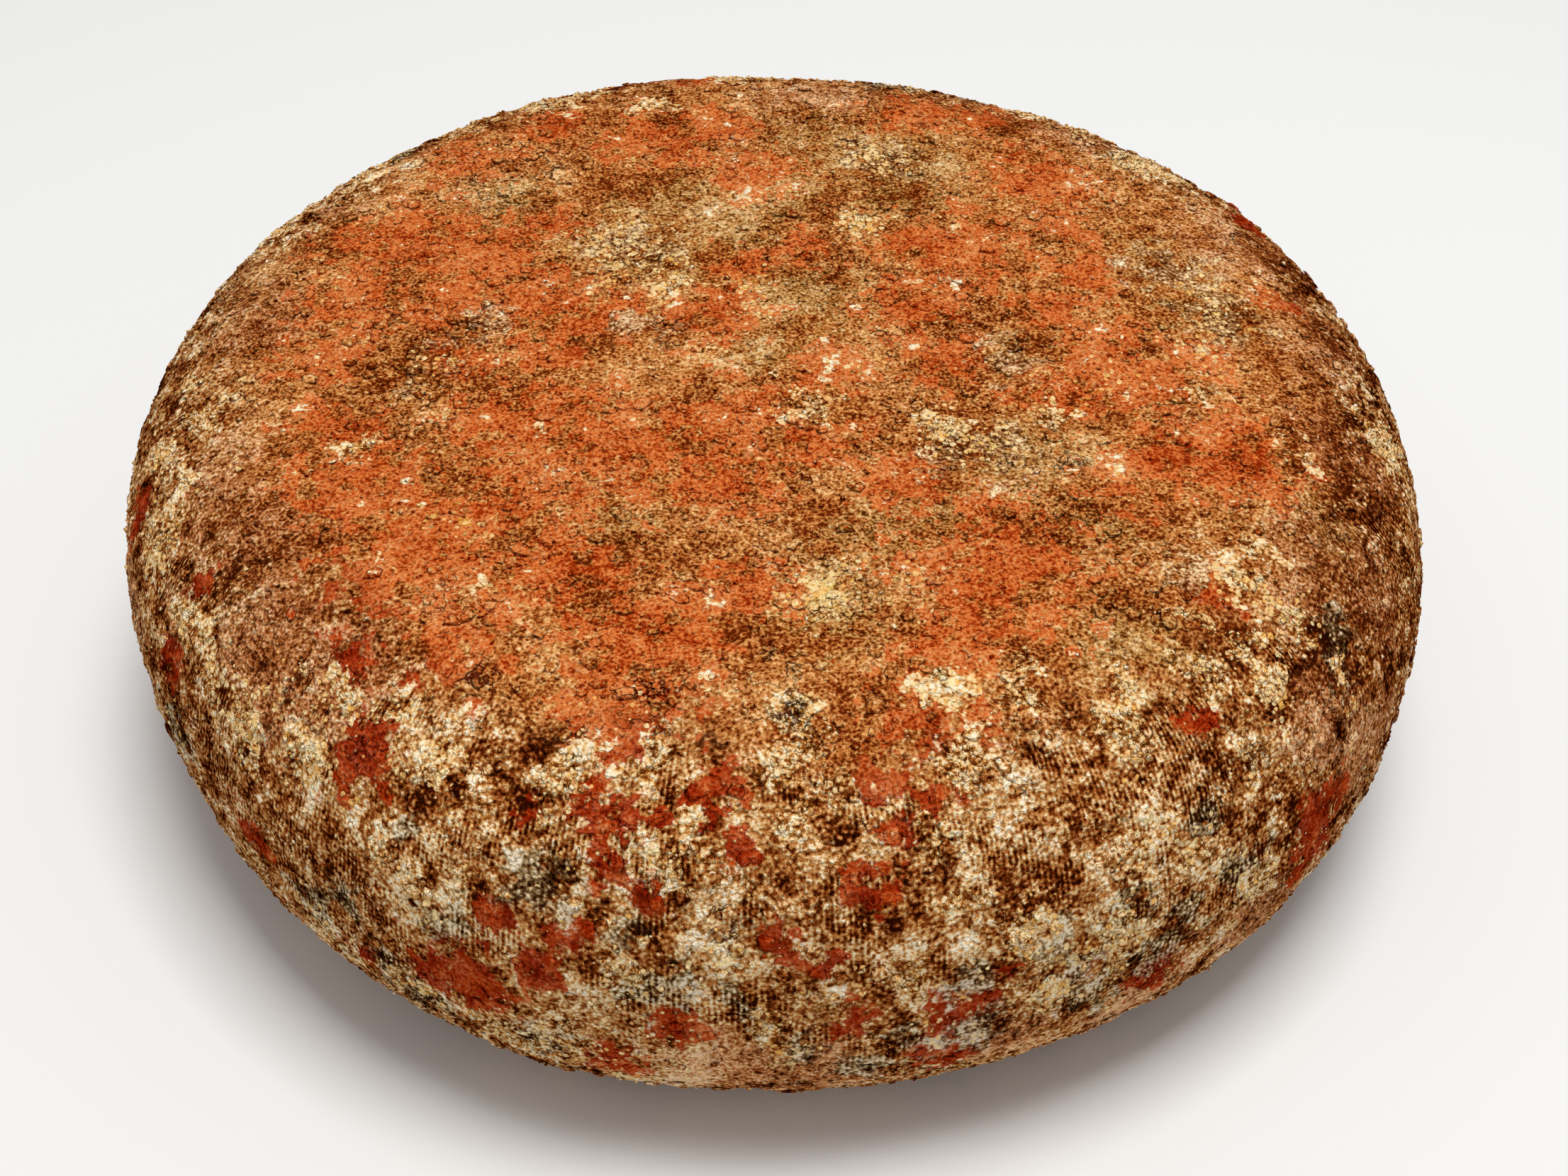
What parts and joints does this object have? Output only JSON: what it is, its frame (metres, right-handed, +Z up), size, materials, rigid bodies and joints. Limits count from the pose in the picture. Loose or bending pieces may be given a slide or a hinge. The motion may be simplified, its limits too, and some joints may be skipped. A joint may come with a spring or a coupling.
{
  "type": "cheese wheel",
  "caption": "Whole round wheel of aged cheese with a bulging side, flat faces and a rough, mottled brown natural rind, resting on one face.",
  "frame": {"origin": "centre of the wheel's bounding square, on the flat bottom face that it rests on", "axes": "+Z up through the wheel's thickness, from the face it rests on to the top face; -Y towards the viewer; +X to the viewer's right"},
  "size_m": [0.2774, 0.281, 0.0932],
  "materials": {
    "rind": "matte"
  },
  "bodies": {
    "root": {"cheese_wheel": "rind"}
  },
  "joints": []
}
